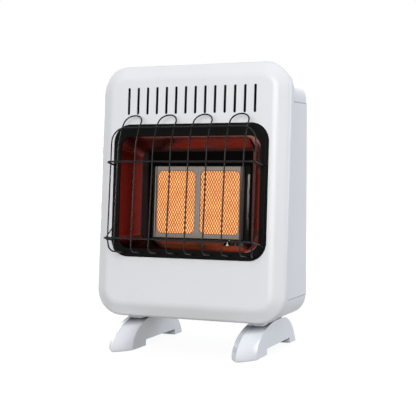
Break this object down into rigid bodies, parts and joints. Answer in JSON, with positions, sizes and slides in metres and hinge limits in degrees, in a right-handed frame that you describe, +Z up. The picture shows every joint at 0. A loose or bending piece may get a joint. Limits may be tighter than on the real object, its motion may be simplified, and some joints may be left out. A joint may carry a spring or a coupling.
{
  "type": "portable propane heater",
  "caption": "Infrared gas room heater: white leaning cabinet on sled feet, with a dark reflector, twin glowing ceramic plaques and a black wire guard.",
  "frame": {"origin": "centre of the footprint, on the floor", "axes": "X to the right as seen from the front, Y to the back, Z up"},
  "size_m": [0.39, 0.2691, 0.5462],
  "materials": {
    "white_enamel": "semi-gloss white enamel",
    "bezel_black": "satin black enamel",
    "polished_sheet": "polished dark stainless",
    "guard_black": "gloss black on round wire",
    "burner_sheet": "heat-tinted aluminised steel",
    "plaque_ceramic": "porous, glowing",
    "gasket_fibre": "pressed ceramic fibre",
    "plain_sheet": "galvanised",
    "brass_fittings": "turned",
    "couple_metal": "drawn copper alloy",
    "insulator_white": "glazed",
    "cast_alloy": "as cast",
    "tube_alloy": "drawn",
    "steel_turned": "turned",
    "knob_black": "fine grain",
    "dial_alloy": "brushed",
    "plated_steel": "bright zinc",
    "button_red": "gloss",
    "wire_sleeve": "silicone",
    "foot_white": "gloss white moulding"
  },
  "bodies": {
    "heater": {"back_casing": "white_enamel", "bezel": "bezel_black", "bezel_screws": "plated_steel", "bracket_screws": "plated_steel", "burner_box": "burner_sheet", "burner_face_frame": "burner_sheet", "burner_mount_plate": "plain_sheet", "burner_screws": "plated_steel", "burner_tube": "tube_alloy", "ceramic_plaque_left": "plaque_ceramic", "ceramic_plaque_right": "plaque_ceramic", "control_bracket": "plain_sheet", "cover_screws": "plated_steel", "dial_plate": "dial_alloy", "foot_left": "foot_white", "foot_right": "foot_white", "foot_screws": "plated_steel", "front_cover": "white_enamel", "gas_inlet_fitting": "brass_fittings", "gas_valve_body": "cast_alloy", "guard_hairpin_1": "guard_black", "guard_hairpin_2": "guard_black", "guard_hairpin_3": "guard_black", "guard_hairpin_4": "guard_black", "guard_lower_rail": "guard_black", "guard_perimeter_wire": "guard_black", "guard_side_stays": "guard_black", "guard_upper_rail": "guard_black", "igniter_body": "knob_black", "igniter_nut": "plated_steel", "igniter_wire": "wire_sleeve", "inlet_locknut": "brass_fittings", "mixing_tube": "burner_sheet", "mount_plate_screws": "plated_steel", "orifice_bracket": "burner_sheet", "orifice_holder": "brass_fittings", "pilot_bracket": "plain_sheet", "pilot_burner": "brass_fittings", "pilot_tube": "tube_alloy", "plaque_gasket": "gasket_fibre", "pressure_regulator": "cast_alloy", "rear_heat_shield": "plain_sheet", "reflector": "polished_sheet", "shield_screws": "plated_steel", "side_panel_left": "white_enamel", "side_panel_right": "white_enamel", "spark_electrode": "insulator_white", "supply_tube": "tube_alloy", "thermocouple": "couple_metal", "top_deflector": "plain_sheet"},
    "stem_collar": {"stem_collar": "steel_turned"},
    "knob": {"valve_stem": "steel_turned", "control_knob": "knob_black"},
    "button": {"igniter_button": "button_red"}
  },
  "joints": [
    {"name": "knob_push", "type": "slide", "parent": "heater", "child": "stem_collar", "axis": [0, 0, -1], "range_m": [0, 0.004], "stiffness_N_per_m": 1500, "springref_m": -0.002},
    {"name": "knob_turn", "type": "hinge", "parent": "stem_collar", "child": "knob", "pos_m": [0.115, 0.038, 0.53], "axis": [0, 0, 1], "range_deg": [0, 240]},
    {"name": "igniter_push", "type": "slide", "parent": "heater", "child": "button", "axis": [0, 0, -1], "range_m": [0, 0.005], "stiffness_N_per_m": 2000, "springref_m": -0.002}
  ]
}
